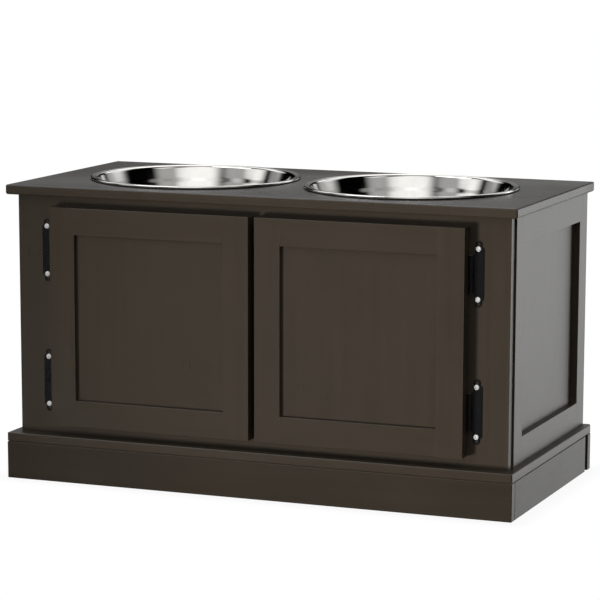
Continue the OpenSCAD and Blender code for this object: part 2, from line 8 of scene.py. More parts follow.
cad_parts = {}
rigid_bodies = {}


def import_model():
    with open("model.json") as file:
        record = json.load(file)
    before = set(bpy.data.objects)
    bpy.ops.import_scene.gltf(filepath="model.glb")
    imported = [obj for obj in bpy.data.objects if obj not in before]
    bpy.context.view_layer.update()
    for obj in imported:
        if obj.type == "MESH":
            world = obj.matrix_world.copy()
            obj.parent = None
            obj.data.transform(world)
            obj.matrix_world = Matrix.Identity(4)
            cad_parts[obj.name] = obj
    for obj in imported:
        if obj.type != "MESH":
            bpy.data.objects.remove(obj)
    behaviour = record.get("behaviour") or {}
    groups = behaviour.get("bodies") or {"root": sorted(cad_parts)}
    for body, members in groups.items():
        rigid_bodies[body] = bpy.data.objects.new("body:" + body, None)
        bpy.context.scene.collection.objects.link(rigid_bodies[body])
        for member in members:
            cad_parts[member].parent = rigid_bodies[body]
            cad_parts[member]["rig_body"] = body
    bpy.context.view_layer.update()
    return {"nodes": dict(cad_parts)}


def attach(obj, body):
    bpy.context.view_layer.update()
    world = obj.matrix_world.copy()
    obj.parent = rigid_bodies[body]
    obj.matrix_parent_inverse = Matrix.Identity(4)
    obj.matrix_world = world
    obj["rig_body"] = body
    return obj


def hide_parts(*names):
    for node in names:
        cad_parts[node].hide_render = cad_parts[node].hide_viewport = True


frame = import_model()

# Metres. X runs across the front, +Y to the back, +Z up; the front faces -Y.
MM = 0.001


scene = bpy.context.scene
scene.view_settings.view_transform = "Standard"
scene.view_settings.look = "None"
scene.view_settings.exposure = 0.0
scene.view_settings.gamma = 1.0

# ------------------------------------------------------------------ camera
AZ, EL, ROLL = math.radians(21.6610), 0.1797929, 0.0027109
right = Vector((math.cos(AZ), math.sin(AZ), 0))
back = Vector((math.sin(AZ) * math.cos(EL), -math.cos(AZ) * math.cos(EL), math.sin(EL)))
up = back.cross(right)
cam_x = math.cos(ROLL) * right + math.sin(ROLL) * up
cam_y = -math.sin(ROLL) * right + math.cos(ROLL) * up
cam_data = bpy.data.cameras.new("photo_camera")
cam_data.sensor_fit = "HORIZONTAL"
cam_data.sensor_width = 36.0
cam_data.lens = 165.91
cam_data.shift_x = -0.01955
cam_data.shift_y = 0.13975
cam_data.clip_start = 0.05
cam_data.clip_end = 200
cam = bpy.data.objects.new("photo_camera", cam_data)
scene.collection.objects.link(cam)
m = Matrix.Identity(4)
for i in range(3):
    m[i][0], m[i][1], m[i][2] = cam_x[i], cam_y[i], back[i]
m.translation = Vector((1.157874, -2.884187, 0.668757))
cam.matrix_world = m
scene.camera = cam


# --------------------------------------------------------------- node help
class Graph:
    """Short calls for building a node tree."""

    def __init__(self, tree):
        self.t = tree
        self.t.nodes.clear()

    def node(self, kind, **props):
        n = self.t.nodes.new(kind)
        for k, v in props.items():
            setattr(n, k, v)
        return n

    def put(self, socket, value):
        if isinstance(value, bpy.types.NodeSocket):
            self.t.links.new(value, socket)
        elif value is not None:
            socket.default_value = value

    def math(self, op, a, b=None, c=None, clamp=False):
        n = self.node("ShaderNodeMath", operation=op, use_clamp=clamp)
        for s, v in zip(n.inputs, (a, b, c)):
            self.put(s, v)
        return n.outputs[0]

    def vmath(self, op, a, b=None, scale=None):
        n = self.node("ShaderNodeVectorMath", operation=op)
        self.put(n.inputs[0], a)
        if b is not None:
            self.put(n.inputs[1], b)
        if scale is not None:
            self.put(n.inputs["Scale"], scale)
        return n.outputs["Value"] if op in ("DOT_PRODUCT", "LENGTH", "DISTANCE") else n.outputs["Vector"]

    def mix(self, fac, a, b, blend="MIX"):
        n = self.node("ShaderNodeMix", data_type="RGBA", blend_type=blend)
        self.put(n.inputs[0], fac)
        self.put(n.inputs[6], a)
        self.put(n.inputs[7], b)
        return n.outputs[2]

    def remap(self, v, a, b, c, d, smooth=False):
        n = self.node("ShaderNodeMapRange", clamp=True)
        if smooth:
            n.interpolation_type = "SMOOTHSTEP"
        for s, x in zip(n.inputs, (v, a, b, c, d)):
            self.put(s, x)
        return n.outputs[0]

    def noise(self, vec, scale, detail=2.0, rough=0.5, dist=0.0, dims="3D"):
        n = self.node("ShaderNodeTexNoise", noise_dimensions=dims)
        if dims == "1D":
            self.put(n.inputs["W"], vec)
        else:
            self.put(n.inputs["Vector"], vec)
        n.inputs["Scale"].default_value = scale
        n.inputs["Detail"].default_value = detail
        n.inputs["Roughness"].default_value = rough
        n.inputs["Distortion"].default_value = dist
        return n.outputs["Fac"]

    def bump(self, height, distance, strength=1.0, normal=None):
        n = self.node("ShaderNodeBump")
        n.inputs["Strength"].default_value = strength
        n.inputs["Distance"].default_value = distance
        self.put(n.inputs["Height"], height)
        if normal is not None:
            self.put(n.inputs["Normal"], normal)
        return n.outputs[0]


def new_material(name):
    mat = bpy.data.materials.new(name)
    mat.use_nodes = True
    g = Graph(mat.node_tree)
    out = g.node("ShaderNodeOutputMaterial")
    bsdf = g.node("ShaderNodeBsdfPrincipled")
    g.put(out.inputs["Surface"], bsdf.outputs[0])
    return mat, g, bsdf


def local_coords(g, shift=True):
    """Object coordinates, shifted per object so that neighbours don't share a pattern."""
    co = g.node("ShaderNodeTexCoord").outputs["Object"]
    if not shift:
        return co
    rnd = g.node("ShaderNodeObjectInfo").outputs["Random"]
    vec = g.node("ShaderNodeCombineXYZ")
    g.put(vec.inputs[0], g.math("MULTIPLY", rnd, 7.3))
    g.put(vec.inputs[1], g.math("MULTIPLY", rnd, 13.7))
    g.put(vec.inputs[2], g.math("MULTIPLY", rnd, 5.1))
    return g.vmath("ADD", co, vec.outputs[0])


def edge_mask(g, radius):
    """1 along the edges of the solid, 0 on its faces."""
    bev = g.node("ShaderNodeBevel", samples=6)
    bev.inputs["Radius"].default_value = radius
    geo = g.node("ShaderNodeNewGeometry")
    d = g.vmath("DOT_PRODUCT", bev.outputs[0], geo.outputs["True Normal"])
    return g.remap(d, 0.995, 0.86, 0.0, 1.0)


# --------------------------------------------------------------- materials
def paint(name, axis, base, rough=0.31, grain=1.0, peel=1.0, spread=0.06, coat=0.0, ior=1.5, dull=0.0, rim=None):
    """Sprayed espresso paint over board: faint grain telegraphing along one axis, orange-peel, and edges a little
    smoother and painted lighter, a painted highlight along the arrises.
    """
    mat, g, b = new_material(name)
    co = local_coords(g)
    stretch = {"x": (0.045, 1, 1), "y": (1, 0.045, 1), "z": (1, 1, 0.045)}[axis]
    mp = g.node("ShaderNodeMapping")
    g.put(mp.inputs["Vector"], co)
    mp.inputs["Scale"].default_value = stretch
    long_co = mp.outputs[0]
    fibres = g.noise(long_co, 620, 3.0, 0.6)
    figure = g.noise(long_co, 95, 3.0, 0.55, 0.4)
    cloud = g.noise(co, 9.0, 3.0, 0.55)
    speck = g.noise(co, 1400, 1.0, 0.5)
    peel_h = g.noise(co, 330, 2.0, 0.45)
    edge = edge_mask(g, 1.1 * MM)
    light = tuple(min(1, c * (1 + spread)) for c in base) + (1,)
    dark = tuple(c * (1 - spread) for c in base) + (1,)
    col = g.mix(g.remap(cloud, 0.3, 0.7, 0, 1), dark, light)
    tint = g.mix(g.remap(figure, 0.3, 0.72, 0, 1), (0.93, 0.92, 0.90, 1), (1.06, 1.055, 1.05, 1))
    col = g.mix(1.0, col, tint, "MULTIPLY")
    dots = g.mix(g.remap(speck, 0.35, 0.75, 0, 1), (0.96, 0.96, 0.96, 1), (1.05, 1.05, 1.05, 1))
    col = g.mix(1.0, col, dots, "MULTIPLY")
    # painted highlight: the arrises are painted lighter, in patches, to stand for light caught along the edges
    edge_highlight_colour = tuple(min(1, c * k) for c, k in zip(base, (2.3, 2.2, 2.1))) + (1,)
    patchy = g.remap(g.noise(co, 55, 2.0, 0.6), 0.35, 0.7, 0.15, 0.85)
    col = g.mix(g.math("MULTIPLY", edge, g.math("MULTIPLY", patchy, 0.75)), col, edge_highlight_colour)
    if rim:
        # the upright faces get the brown of the fronts; the flat top keeps the greyer base colour, a painted sheen
        up = g.node("ShaderNodeSeparateXYZ")
        g.put(up.inputs[0], g.node("ShaderNodeNewGeometry").outputs["Normal"])
        top_sheen_mask = g.remap(up.outputs[2], 0.45, 0.9, 0.0, 1.0, smooth=True)
        col = g.mix(top_sheen_mask, g.mix(1.0, tuple(c / d for c, d in zip(rim, base)) + (1,), col, "MULTIPLY"), col)
    g.put(b.inputs["Base Color"], col)
    r = g.math("ADD", g.remap(cloud, 0.25, 0.75, rough - 0.035, rough + 0.035), g.remap(fibres, 0.3, 0.7, -0.02, 0.03))
    r = g.math("ADD", r, g.math("MULTIPLY", edge, -0.05))
    if dull:
        # duller towards the back left, a value chosen for likeness
        p = g.node("ShaderNodeSeparateXYZ")
        g.put(p.inputs[0], g.node("ShaderNodeTexCoord").outputs["Object"])
        away = g.math("MULTIPLY_ADD", p.outputs[0], -0.9, g.math("MULTIPLY", p.outputs[1], 2.2))
        away = g.math("ADD", away, g.remap(cloud, 0.3, 0.7, -0.05, 0.05))
        r = g.math("ADD", r, g.remap(away, -0.18, 0.34, 0.0, dull, smooth=True))
    g.put(b.inputs["Roughness"], r)
    h1 = g.bump(figure, 0.022 * MM * grain, 1.0)
    h2 = g.bump(fibres, 0.010 * MM * grain, 1.0, h1)
    h3 = g.bump(peel_h, 0.030 * MM * peel, 1.0, h2)
    g.put(b.inputs["Normal"], h3)
    b.inputs["IOR"].default_value = ior
    b.inputs["Coat Weight"].default_value = coat
    b.inputs["Coat Roughness"].default_value = 0.18
    return mat


ESPRESSO = (0.0485, 0.0376, 0.0270)
paint_x = paint("espresso_paint_grain_x", "x", ESPRESSO)
paint_y = paint("espresso_paint_grain_y", "y", ESPRESSO)
paint_z = paint("espresso_paint_grain_z", "z", ESPRESSO)
# the greyer base colour of the top is a painted sheen on its flat face; rim is the brown its upright faces keep
paint_top = paint("espresso_paint_top", "x", (0.040, 0.034, 0.0295), rough=0.28, grain=0.6, peel=1.6, dull=0.38, rim=(0.050, 0.0395, 0.0285))
# the plinth boards are a shade darker, a painted shade for the weaker light low down by the floor; a value chosen for
# likeness
PLINTH_SHADED = tuple(c * 0.80 for c in ESPRESSO)
plinth_x = paint("plinth_paint_grain_x", "x", PLINTH_SHADED, rough=0.33, ior=1.42)
plinth_y = paint("plinth_paint_grain_y", "y", PLINTH_SHADED, rough=0.34, ior=1.40)
paint_panel = paint("espresso_paint_panel", "z", ESPRESSO, rough=0.31, grain=0.8)


def bare_wood(name, axis, pale, dark, rough=0.62):
    """Unpainted softwood: growth bands and pores along one axis."""
    mat, g, b = new_material(name)
    co = local_coords(g)
    stretch = {"x": (0.035, 1, 1), "y": (1, 0.035, 1), "z": (1, 1, 0.035)}[axis]
    mp = g.node("ShaderNodeMapping")
    g.put(mp.inputs["Vector"], co)
    mp.inputs["Scale"].default_value = stretch
    warp = g.noise(mp.outputs[0], 40, 2.0, 0.5, 0.3)
    rings = g.node("ShaderNodeTexWave", wave_type="BANDS", bands_direction="DIAGONAL", wave_profile="SIN")
    g.put(rings.inputs["Vector"], mp.outputs[0])
    rings.inputs["Scale"].default_value = 60
    rings.inputs["Distortion"].default_value = 6.0
    rings.inputs["Detail"].default_value = 2.0
    rings.inputs["Detail Scale"].default_value = 1.5
    pores = g.noise(mp.outputs[0], 900, 2.0, 0.6)
    band = g.math("ADD", g.math("MULTIPLY", rings.outputs["Fac"], 0.6), g.math("MULTIPLY", warp, 0.4))
    col = g.mix(g.remap(band, 0.2, 0.85, 0, 1), dark + (1,), pale + (1,))
    fleck = g.mix(g.remap(pores, 0.35, 0.65, 0, 1), (0.86, 0.84, 0.8, 1), (1.04, 1.04, 1.04, 1))
    col = g.mix(1.0, col, fleck, "MULTIPLY")
    grime = g.remap(g.noise(co, 30, 3.0, 0.6), 0.5, 0.75, 0, 0.35)
    col = g.mix(grime, col, tuple(c * 0.72 for c in dark) + (1,))
    edge = edge_mask(g, 0.8 * MM)
    col = g.mix(g.math("MULTIPLY", edge, 0.35), col, tuple(min(1, c * 1.15) for c in pale) + (1,))
    g.put(b.inputs["Base Color"], col)
    g.put(b.inputs["Roughness"], g.remap(pores, 0.2, 0.8, rough - 0.06, rough + 0.1))
    n = g.bump(pores, 0.05 * MM)
    n = g.bump(band, 0.03 * MM, 1.0, n)
    g.put(b.inputs["Normal"], n)
    b.inputs["IOR"].default_value = 1.45
    return mat


pine_x = bare_wood("bare_pine_x", "x", (0.56, 0.39, 0.22), (0.37, 0.225, 0.11))
pine_y = bare_wood("bare_pine_y", "y", (0.56, 0.39, 0.22), (0.37, 0.225, 0.11))
pine_z = bare_wood("bare_pine_z", "z", (0.56, 0.39, 0.22), (0.37, 0.225, 0.11))
beech = bare_wood("bare_beech", "x", (0.66, 0.48, 0.30), (0.50, 0.33, 0.18), 0.5)

BOWL_X = 131 * MM


def steel_bowl():
    """Polished stainless sheet with spun rings, faint smudges and a little wear on the bead."""
    mat, g, b = new_material("polished_stainless")
    co = g.node("ShaderNodeTexCoord").outputs["Object"]
    sep = g.node("ShaderNodeSeparateXYZ")
    g.put(sep.inputs[0], co)
    dx = g.math("SUBTRACT", g.math("ABSOLUTE", sep.outputs[0]), BOWL_X)
    rr = g.math("SQRT", g.math("ADD", g.math("MULTIPLY", dx, dx), g.math("MULTIPLY", sep.outputs[1], sep.outputs[1])))
    along = g.math("ADD", rr, g.math("MULTIPLY", sep.outputs[2], 0.8))
    rings = g.noise(along, 2600, 2.0, 0.6, dims="1D")
    broad = g.noise(along, 160, 2.0, 0.5, dims="1D")
    smudge = g.noise(co, 38, 3.0, 0.6, 0.5)
    fine = g.noise(co, 700, 2.0, 0.5)
    col = g.mix(g.remap(smudge, 0.3, 0.75, 0, 1), (0.90, 0.885, 0.85, 1), (0.80, 0.785, 0.75, 1))
    col = g.mix(g.remap(rings, 0.3, 0.7, 0.0, 0.12), col, (0.55, 0.54, 0.52, 1))
    edge = edge_mask(g, 0.5 * MM)
    col = g.mix(g.math("MULTIPLY", edge, 0.25), col, (0.88, 0.87, 0.85, 1))
    g.put(b.inputs["Base Color"], col)
    b.inputs["Metallic"].default_value = 1.0
    r = g.math("ADD", g.remap(smudge, 0.3, 0.75, 0.045, 0.10), g.remap(rings, 0.3, 0.7, 0.0, 0.03))
    g.put(b.inputs["Roughness"], r)
    n = g.bump(broad, 0.02 * MM)
    n = g.bump(rings, 0.0008 * MM, 1.0, n)
    n = g.bump(fine, 0.0012 * MM, 1.0, n)
    g.put(b.inputs["Normal"], n)
    return mat


def metal(name, base, rough, metallic, wear, grain=500, bump=0.004, edge_r=0.25, spec=None):
    """Small metal part: mottled finish, brighter rubbed edges and a fine cast or plated texture."""
    mat, g, b = new_material(name)
    co = local_coords(g)
    big = g.noise(co, 120, 2.0, 0.55)
    small = g.noise(co, grain * 2, 3.0, 0.6)
    edge = edge_mask(g, edge_r * MM)
    lo = tuple(c * 0.85 for c in base) + (1,)
    hi = tuple(min(1, c * 1.12) for c in base) + (1,)
    col = g.mix(g.remap(big, 0.3, 0.7, 0, 1), lo, hi)
    col = g.mix(g.math("MULTIPLY", edge, g.remap(small, 0.35, 0.65, 0.2, 0.9)), col, tuple(wear) + (1,))
    g.put(b.inputs["Base Color"], col)
    b.inputs["Metallic"].default_value = metallic
    g.put(b.inputs["Roughness"], g.math("ADD", g.remap(small, 0.3, 0.7, rough - 0.05, rough + 0.06), g.math("MULTIPLY", edge, -0.06)))
    n = g.bump(small, bump * MM)
    n = g.bump(big, bump * 3 * MM, 1.0, n)
    g.put(b.inputs["Normal"], n)
    if spec is not None:
        b.inputs["Specular IOR Level"].default_value = spec
    return mat


def rubber_dot():
    mat, g, b = new_material("soft_clear_bumper")
    co = local_coords(g)
    haze = g.noise(co, 300, 3.0, 0.6)
    g.put(b.inputs["Base Color"], g.mix(g.remap(haze, 0.3, 0.7, 0, 1), (0.80, 0.80, 0.76, 1), (0.90, 0.90, 0.87, 1)))
    g.put(b.inputs["Roughness"], g.remap(haze, 0.3, 0.7, 0.22, 0.36))
    g.put(b.inputs["Normal"], g.bump(haze, 0.01 * MM))
    b.inputs["Transmission Weight"].default_value = 0.55
    b.inputs["IOR"].default_value = 1.45
    return mat


steel = steel_bowl()
black = metal("hinge_black_enamel", (0.007, 0.007, 0.008), 0.27, 0.0, (0.05, 0.05, 0.053), grain=700, bump=0.006)
pin_metal = metal("pin_black_worn", (0.02, 0.02, 0.022), 0.24, 0.0, (0.5, 0.5, 0.5), grain=700, bump=0.004, edge_r=0.3)
zinc = metal("zinc_plated_screws", (0.92, 0.91, 0.89), 0.28, 0.30, (0.93, 0.92, 0.88), grain=900, bump=0.003, edge_r=0.15)
nail_steel = metal("nail_steel", (0.42, 0.41, 0.39), 0.4, 1.0, (0.6, 0.59, 0.57), grain=900, bump=0.004, edge_r=0.15)
spring = metal("spring_steel_strip", (0.46, 0.46, 0.47), 0.3, 1.0, (0.62, 0.62, 0.62), grain=900, bump=0.003, edge_r=0.12)
clear = rubber_dot()


# ------------------------------------------------------------- mesh makers
def mesh_object(name, bm, mat, body, nodes, smooth_angle=None):
    me = bpy.data.meshes.new(name)
    bm.to_mesh(me)
    bm.free()
    me.materials.append(mat)
    me.polygons.foreach_set("use_smooth", [True] * len(me.polygons))
    ob = bpy.data.objects.new(name, me)
    scene.collection.objects.link(ob)
    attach(ob, body)
    if nodes:
        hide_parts(*nodes)
    return ob


def weighted(ob, sharp=None):
    w = ob.modifiers.new("face_weighted_normals", "WEIGHTED_NORMAL")
    w.mode = "FACE_AREA"
    w.weight = 90
    w.keep_sharp = False
    return ob


def bake_modifiers(ob):
    """The mesh as its modifiers leave it."""
    bpy.context.view_layer.update()
    dg = bpy.context.evaluated_depsgraph_get()
    me = bpy.data.meshes.new_from_object(ob.evaluated_get(dg), preserve_all_data_layers=True, depsgraph=dg)
    old = ob.data
    ob.modifiers.clear()
    ob.data = me
    me.name = ob.name
    bpy.data.meshes.remove(old)
    return ob


def soften(node, mat, radius=0.6, segments=3, name=None, angle=35, cuts=(), joints=()):
    """Board from its CAD solid with welded, dissolved faces and every arris rounded.
    cuts are (axis, value) planes that split its long edges; joints are (axis, value, axis, low, high)
    lines where it butts against a neighbour, which keep only a hairline arris."""
    src = frame["nodes"][node].data
    bm = bmesh.new()
    bm.from_mesh(src)
    bmesh.ops.remove_doubles(bm, verts=bm.verts, dist=0.002 * MM)
    bmesh.ops.dissolve_limit(bm, angle_limit=math.radians(1.0), verts=bm.verts, edges=bm.edges, use_dissolve_boundaries=False)
    bmesh.ops.recalc_face_normals(bm, faces=bm.faces)
    for axis, value in cuts:
        no = Vector((0, 0, 0))
        no["xyz".index(axis)] = 1
        bmesh.ops.bisect_plane(bm, geom=bm.verts[:] + bm.edges[:] + bm.faces[:], dist=0.001 * MM, plane_co=no * value * MM, plane_no=no)
    layer = bm.edges.layers.float.get("bevel_weight_edge") or bm.edges.layers.float.new("bevel_weight_edge")
    for e in bm.edges:
        if len(e.link_faces) != 2 or e.calc_face_angle() < math.radians(angle):
            continue
        weight = 1.0
        a, b = (v.co / MM for v in e.verts)
        for ax, value, bx, low, high in joints:
            i, j = "xyz".index(ax), "xyz".index(bx)
            on = abs(a[i] - value) < 0.02 and abs(b[i] - value) < 0.02
            if on and min(a[j], b[j]) > low - 0.02 and max(a[j], b[j]) < high + 0.02:
                weight = 0.12
        e[layer] = weight
    body = frame["nodes"][node]["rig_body"]
    ob = mesh_object(name or "vis_" + node, bm, mat, body, [node])
    bev = ob.modifiers.new("arris", "BEVEL")
    bev.width = radius * MM
    bev.segments = segments
    bev.limit_method = "WEIGHT"
    bev.use_clamp_overlap = True
    bev.harden_normals = False
    weighted(ob)
    return ob


def arc(cx, cy, r, a0, a1, n):
    return [(cx + r * math.cos(math.radians(a0 + (a1 - a0) * i / n)), cy + r * math.sin(math.radians(a0 + (a1 - a0) * i / n))) for i in range(n + 1)]


def rounded_rect(x0, y0, x1, y1, r, n=6):
    """Corner points of a rounded rectangle, anticlockwise, n + 1 to a corner."""
    return (arc(x1 - r, y1 - r, r, 0, 90, n) + arc(x0 + r, y1 - r, r, 90, 180, n)
            + arc(x0 + r, y0 + r, r, 180, 270, n) + arc(x1 - r, y0 + r, r, 270, 360, n))


def loop_faces(bm, a, b, flip=False):
    n = len(a)
    for i in range(n):
        q = [a[i], a[(i + 1) % n], b[(i + 1) % n], b[i]]
        bm.faces.new(q[::-1] if flip else q)


def cap(bm, outer, holes, flip=False):
    """Flat face with holes, filled with triangles between existing vertices."""
    loops = [outer] + holes
    top_sheen_mask = [v for l in loops for v in l]
    for t in tessellate_polygon([[v.co for v in l] for l in loops]):
        vs = [top_sheen_mask[i] for i in t]
        f = bm.faces.new(vs)
        f.normal_update()
        if (f.normal.z < 0) != flip:
            f.normal_flip()


def slab(name, lo, hi, rt, rb, rc, holes, mat, body, nodes, seg=5):
    """Board with rounded upper, lower and upright arrises; holes are (x, y, [(radius, z), ...]) from the top down."""
    bm = bmesh.new()
    x0, y0, z0 = lo
    x1, y1, z1 = hi
    prof = []
    for i in range(seg + 1):
        a = math.pi / 2 * i / seg
        prof.append((rb * (1 - math.sin(a)), z0 + rb * (1 - math.cos(a))))
    for i in range(seg + 1):
        a = math.pi / 2 * i / seg
        prof.append((rt * (1 - math.cos(a)), z1 - rt * (1 - math.sin(a))))
    rings = []
    for inset, z in prof:
        pts = rounded_rect((x0 + inset) * MM, (y0 + inset) * MM, (x1 - inset) * MM, (y1 - inset) * MM, max(rc - inset * 0.6, 0.35) * MM)
        rings.append([bm.verts.new((x, y, z * MM)) for x, y in pts])
    for a, b in zip(rings, rings[1:]):
        loop_faces(bm, a, b)
    tops, bottoms = [], []
    for hx, hy, hprof, n in holes:
        hr = []
        for r, z in hprof:
            hr.append([bm.verts.new(((hx + r * math.cos(2 * math.pi * i / n)) * MM, (hy + r * math.sin(2 * math.pi * i / n)) * MM, z * MM)) for i in range(n)])
        for a, b in zip(hr, hr[1:]):
            loop_faces(bm, a, b)
        if abs(hprof[0][1] - z1) < 1e-6:
            tops.append(hr[0])
        else:
            bm.faces.new(hr[0])
        if abs(hprof[-1][1] - z0) < 1e-6:
            bottoms.append(hr[-1])
        else:
            bm.faces.new(hr[-1][::-1])
    cap(bm, rings[-1], tops)
    cap(bm, rings[0], bottoms, flip=True)
    bmesh.ops.recalc_face_normals(bm, faces=bm.faces)
    return weighted(mesh_object(name, bm, mat, body, nodes))


def lathe(bm, prof, seg, cx=0.0, cy=0.0, cz=0.0, closed=True):
    """Turns a profile of (radius, z) in metres about the upright axis through cx, cy."""
    rings = []
    for r, z in prof:
        if r < 1e-7:
            v = bm.verts.new((cx, cy, cz + z))
            rings.append([v] * seg)
        else:
            rings.append([bm.verts.new((cx + r * math.cos(2 * math.pi * i / seg), cy + r * math.sin(2 * math.pi * i / seg), cz + z)) for i in range(seg)])
    pairs = list(zip(rings, rings[1:] + ([rings[0]] if closed else [])))
    for a, b in pairs:
        for i in range(seg):
            vs = []
            for v in (a[i], a[(i + 1) % seg], b[(i + 1) % seg], b[i]):
                if v not in vs:
                    vs.append(v)
            if len(vs) > 2:
                bm.faces.new(vs)
    return rings


# ----------------------------------------------------------------- boards
def round_hole(r, z0, z1, e=0.8, n=4):
    """Profile of a hole with both rims rounded, from the top down."""
    top = [(r + e * (1 - math.sin(math.pi / 2 * i / n)), z1 - e * (1 - math.cos(math.pi / 2 * i / n))) for i in range(n + 1)]
    low = [(r + e * (1 - math.cos(math.pi / 2 * i / n)), z0 + e * (1 - math.sin(math.pi / 2 * i / n))) for i in range(n + 1)]
    return top + low


slab("vis_top_board", (-300, -145, 323), (300, 145, 334), 1.8, 2.4, 2.5,
     [(s * 131, 0, round_hole(114.75, 323, 334), 160) for s in (-1, 1)], paint_top, "cabinet", ["top_board"])


def csk_from_below(d, l, hd, z, z_end):
    """Countersunk hole from the lower face at z, up through z_end; listed from the top down."""
    k = (hd - d) / 2 + 0.3
    return [(d / 2 + 0.05, z_end), (d / 2 + 0.05, z + k), (hd / 2 + 0.06, z + 0.32), (hd / 2 + 0.06, z)]


base_holes = []
for s in (-1, 1):
    for y in (-68, 12, 93):
        base_holes.append((s * 283, y, csk_from_below(4, 30, 8, 42, 52.5), 32))
    base_holes.append((s * 120, -126, csk_from_below(4, 30, 8, 42, 52.5), 32))
slab("vis_base_board", (-300, -150, 42), (300, 150, 52.5), 1.6, 1.6, 2, base_holes, paint_x, "cabinet", ["base_board"])

for n, mat in (("plinth_front", plinth_x), ("plinth_back", plinth_x), ("plinth_left", plinth_y), ("plinth_right", plinth_y)):
    frame["nodes"][n].data.materials[0] = mat

RAILS_Z = [("z", 76), ("z", 299.5)]
for side, sg in (("left", -1), ("right", 1)):
    soften(f"face_stile_{side}", paint_z, 0.9, cuts=RAILS_Z, joints=[("x", sg * 231.5, "z", 0, 76), ("x", sg * 231.5, "z", 299.5, 400)])
for n in ("face_rail_top", "face_rail_bottom"):
    soften(n, paint_x, 0.45, joints=[("x", sg * 231.5, "z", 0, 400) for sg in (-1, 1)])
for side, sg in (("left", -1), ("right", 1)):
    for part, y in (("front_stile", -92), ("back_stile", 117)):
        soften(f"side_{side}_{part}", paint_z, 0.5, cuts=[("z", 82), ("z", 291)], joints=[("y", y, "z", 0, 82), ("y", y, "z", 291, 400)])
    for part in ("top_rail", "bottom_rail"):
        soften(f"side_{side}_{part}", paint_y, 0.4, joints=[("y", y, "z", 0, 400) for y in (-92, 117)])
    soften(f"side_{side}_panel", paint_panel, 0.3)
    for part, x in (("hinge_stile", sg * 213.5), ("free_stile", sg * 33.5)):
        soften(f"door_{side}_{part}", paint_z, 0.6, cuts=[("z", 94.5), ("z", 281.5)], joints=[("x", x, "z", 0, 94.5), ("x", x, "z", 281.5, 400)])
    for part in ("top_rail", "bottom_rail"):
        soften(f"door_{side}_{part}", paint_x, 0.6, joints=[("x", x, "z", 0, 400) for x in (sg * 213.5, sg * 33.5)])
    soften(f"door_{side}_panel", paint_panel, 0.3)
    soften(f"top_cleat_{side}", pine_y, 0.5)
soften("back_panel", paint_panel, 0.3)
soften("back_rail", pine_x, 0.5)
soften("plinth_corner_blocks", pine_z, 0.6)


# ------------------------------------------------------------------ bowls
def bowl(name, cx, node, body):
    """Spun sheet bowl: flat bottom, rounded heel, leaning wall, rolled lip, short flange and a curled bead."""
    t, zb, heel, lip = 1.0, -69.5, 15.0, 3.2
    r0, r1, fz = 75.0, 112.1, 2.65
    w = math.radians(20)
    for _ in range(40):
        w = math.atan2(r1 - r0 - heel * math.cos(w), fz - lip * (1 - math.sin(w)) - zb - heel * (1 - math.sin(w)))
    z1 = fz - lip * (1 - math.sin(w))
    path = [(0.0, zb), (r0 * 0.35, zb), (r0 * 0.7, zb), (r0 * 0.93, zb)]
    for i in range(15):
        a = i / 14 * (math.pi / 2 - w)
        path.append((r0 + heel * math.sin(a), zb + heel * (1 - math.cos(a))))
    p, q = path[-1], (r1, z1)
    wall = math.hypot(q[0] - p[0], q[1] - p[1])
    for i in range(1, 60):
        f = i / 60
        # the wall bulges a little and keeps faint waves from the spinning roller
        bow = 0.9 * math.sin(math.pi * f) + 0.04 * math.sin(2 * math.pi * f * wall / 12.5) * math.sin(math.pi * f)
        # one shallow step pressed round the wall
        u = min(1.0, max(0.0, (f - 0.72) / 0.11))
        bow += 0.6 * (1 - u * u * (3 - 2 * u)) * math.sin(min(1.0, f / 0.6) * math.pi / 2)
        path.append((p[0] + (q[0] - p[0]) * f + bow * math.cos(w), p[1] + (q[1] - p[1]) * f - bow * math.sin(w)))
    for i in range(10):
        a = w + i / 9 * (math.pi / 2 - w)
        path.append((r1 + lip * (math.cos(w) - math.cos(a)), z1 + lip * (math.sin(a) - math.sin(w))))
    # flange, then the curl, which ends under the flange
    bc, bz, br = 118.4, 1.9, 1.1
    path.append((116.9, fz + 0.02))
    for i in range(22):
        a = math.radians(112 - i / 21 * 300)
        path.append((bc + br * math.cos(a), bz + br * math.sin(a)))
    n = len(path)

    def off(i, d):
        a, b2 = path[max(i - 1, 0)], path[min(i + 1, n - 1)]
        dx, dz = b2[0] - a[0], b2[1] - a[1]
        l = math.hypot(dx, dz)
        if i == 0:
            return (0.0, path[0][1] + d)
        return (path[i][0] - dz / l * d, path[i][1] + dx / l * d)

    inner = [off(i, t / 2) for i in range(n)]
    outer = [off(i, -t / 2) for i in range(n)]
    prof = [(r * MM, z * MM) for r, z in inner + outer[::-1]]
    bm = bmesh.new()
    lathe(bm, prof, 300, cx * MM, 0, 334 * MM, closed=False)
    # close the sheet's end inside the curl
    bmesh.ops.remove_doubles(bm, verts=bm.verts, dist=0.001 * MM)
    bmesh.ops.holes_fill(bm, edges=[e for e in bm.edges if e.is_boundary], sides=0)
    bmesh.ops.recalc_face_normals(bm, faces=bm.faces)
    ob = mesh_object(name, bm, steel, body, [node])
    return ob


bowl("vis_bowl_left", -131, "bowl_left", "left_bowl")
bowl("vis_bowl_right", 131, "bowl_right", "right_bowl")

